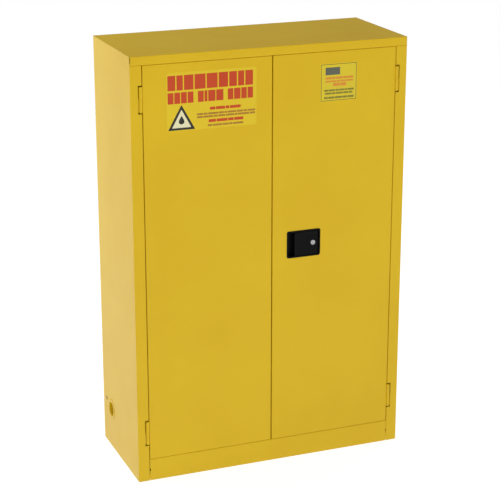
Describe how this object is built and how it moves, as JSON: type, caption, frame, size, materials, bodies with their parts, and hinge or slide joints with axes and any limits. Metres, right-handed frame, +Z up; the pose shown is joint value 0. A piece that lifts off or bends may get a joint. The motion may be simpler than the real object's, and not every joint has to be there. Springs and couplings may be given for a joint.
{
  "type": "flammable storage cabinet",
  "caption": "Double-wall steel safety cabinet with two hinged doors, a recessed pull latch with a lock, lift-out shelves, a sump, plugged side vents and levelling feet.",
  "frame": {"origin": "middle of the floor rectangle the cabinet stands on, level with the foot pads", "axes": "+Z up; the doors face -Y; the left door is at -X"},
  "size_m": [1.0952, 0.4622, 1.651],
  "materials": {
    "yellow_enamel": "semi-gloss powder coat",
    "yellow_interior": "semi-gloss powder coat, inside",
    "galvanised": "spangled galvanised sheet",
    "zinc_steel": "bright zinc plate",
    "black_latch": "black semi-gloss powder coat on a casting",
    "lock_chrome": "satin chrome",
    "spring_steel": "oiled spring wire",
    "brass": "dull brass",
    "screen_mesh": "fine woven stainless mesh",
    "gasket_rubber": "matt black rubber",
    "label_yellow": "glossy vinyl film",
    "label_data": "glossy vinyl film"
  },
  "bodies": {
    "cabinet": {"outer_side_left": "yellow_enamel", "outer_side_right": "yellow_enamel", "outer_top": "yellow_enamel", "outer_back": "yellow_enamel", "outer_bottom": "yellow_enamel", "front_sill": "yellow_enamel", "inner_side_left": "yellow_interior", "inner_side_right": "yellow_interior", "inner_back": "yellow_interior", "inner_top": "yellow_interior", "sump_pan": "yellow_interior", "side_spacers": "galvanised", "back_spacers": "galvanised", "top_and_bottom_spacers": "galvanised", "shelf_standards": "galvanised", "lower_shelf_clips": "zinc_steel", "upper_shelf_clips": "zinc_steel", "vent_flanges": "yellow_enamel", "vent_tubes": "yellow_enamel", "vent_gaskets": "gasket_rubber", "flame_arrester_rings": "zinc_steel", "flame_arrester_screens": "screen_mesh", "ground_insert": "brass", "foot_nuts": "zinc_steel", "hinge_brackets": "yellow_enamel", "hinge_pins": "yellow_enamel", "strike_plates": "zinc_steel"},
    "left_door": {"left_door_skin": "yellow_enamel", "left_door_inner_skin": "yellow_interior", "left_door_stiffener": "galvanised", "left_door_strike": "zinc_steel", "left_door_knuckles": "yellow_enamel", "hazard_label": "label_yellow"},
    "right_door": {"right_door_skin": "yellow_enamel", "right_door_inner_skin": "yellow_interior", "right_door_stiffener": "galvanised", "right_door_knuckles": "yellow_enamel", "data_label": "label_data", "latch_dish": "black_latch", "dish_screws": "black_latch", "paddle_pin": "zinc_steel", "paddle_spring": "spring_steel", "hub_pivot": "zinc_steel", "bar_guides": "zinc_steel"},
    "paddle": {"paddle": "black_latch", "lock_barrel": "lock_chrome"},
    "lock_plug": {"lock_plug": "lock_chrome", "lock_cam": "zinc_steel"},
    "latch_hub": {"latch_hub": "zinc_steel"},
    "top_rod": {"top_rod": "zinc_steel"},
    "bottom_rod": {"bottom_rod": "zinc_steel"},
    "centre_bolt": {"centre_bolt": "zinc_steel"},
    "vent_plug_left": {"vent_plug_left": "brass"},
    "vent_plug_right": {"vent_plug_right": "brass"},
    "lower_shelf": {"lower_shelf": "galvanised"},
    "upper_shelf": {"upper_shelf": "galvanised"},
    "foot_front_left": {"foot_front_left": "zinc_steel"},
    "foot_front_right": {"foot_front_right": "zinc_steel"},
    "foot_rear_left": {"foot_rear_left": "zinc_steel"},
    "foot_rear_right": {"foot_rear_right": "zinc_steel"}
  },
  "joints": [
    {"name": "left_door_hinge", "type": "hinge", "parent": "cabinet", "child": "left_door", "pos_m": [-0.5066, -0.2256, 0.85], "axis": [0, 0, -1], "range_deg": [0, 120]},
    {"name": "right_door_hinge", "type": "hinge", "parent": "cabinet", "child": "right_door", "pos_m": [0.5066, -0.2256, 0.85], "axis": [0, 0, 1], "range_deg": [0, 120]},
    {"name": "paddle_pull", "type": "hinge", "parent": "right_door", "child": "paddle", "pos_m": [0.183, -0.222, 0.885], "axis": [0, 0, 1], "range_deg": [0, 30], "stiffness_Nm_per_rad": 0.8, "springref_deg": -20.05},
    {"name": "lock_turn", "type": "hinge", "parent": "paddle", "child": "lock_plug", "pos_m": [0.1668, -0.2286, 0.886], "axis": [0, -1, 0], "range_deg": [0, 90]},
    {"name": "hub_turn", "type": "hinge", "parent": "right_door", "child": "latch_hub", "pos_m": [0.1708, -0.2, 0.885], "axis": [0, -1, 0], "range_deg": [0, 40.2]},
    {"name": "top_rod_slide", "type": "slide", "parent": "right_door", "child": "top_rod", "axis": [0, 0, -1], "range_m": [0, 0.0179]},
    {"name": "bottom_rod_slide", "type": "slide", "parent": "right_door", "child": "bottom_rod", "axis": [0, 0, 1], "range_m": [0, 0.0179]},
    {"name": "centre_bolt_slide", "type": "slide", "parent": "right_door", "child": "centre_bolt", "axis": [1, 0, 0], "range_m": [0, 0.0179]},
    {"name": "vent_plug_left_out", "type": "slide", "parent": "cabinet", "child": "vent_plug_left", "axis": [-1, 0, 0], "range_m": [0, 0.06]},
    {"name": "vent_plug_right_out", "type": "slide", "parent": "cabinet", "child": "vent_plug_right", "axis": [1, 0, 0], "range_m": [0, 0.06]},
    {"name": "lower_shelf_lift", "type": "slide", "parent": "cabinet", "child": "lower_shelf", "axis": [0, 0, 1], "range_m": [0, 0.03]},
    {"name": "upper_shelf_lift", "type": "slide", "parent": "cabinet", "child": "upper_shelf", "axis": [0, 0, 1], "range_m": [0, 0.03]},
    {"name": "foot_front_left_screw", "type": "slide", "parent": "cabinet", "child": "foot_front_left", "axis": [0, 0, -1], "range_m": [0, 0.012]},
    {"name": "foot_front_right_screw", "type": "slide", "parent": "cabinet", "child": "foot_front_right", "axis": [0, 0, -1], "range_m": [0, 0.012]},
    {"name": "foot_rear_left_screw", "type": "slide", "parent": "cabinet", "child": "foot_rear_left", "axis": [0, 0, -1], "range_m": [0, 0.012]},
    {"name": "foot_rear_right_screw", "type": "slide", "parent": "cabinet", "child": "foot_rear_right", "axis": [0, 0, -1], "range_m": [0, 0.012]}
  ],
  "couplings": [
    {"joint": "hub_turn", "follows": "paddle_pull", "ratio": 1.3333},
    {"joint": "top_rod_slide", "follows": "paddle_pull", "m_per_rad": 0.03396},
    {"joint": "bottom_rod_slide", "follows": "paddle_pull", "m_per_rad": 0.03396},
    {"joint": "centre_bolt_slide", "follows": "paddle_pull", "m_per_rad": 0.03396}
  ]
}
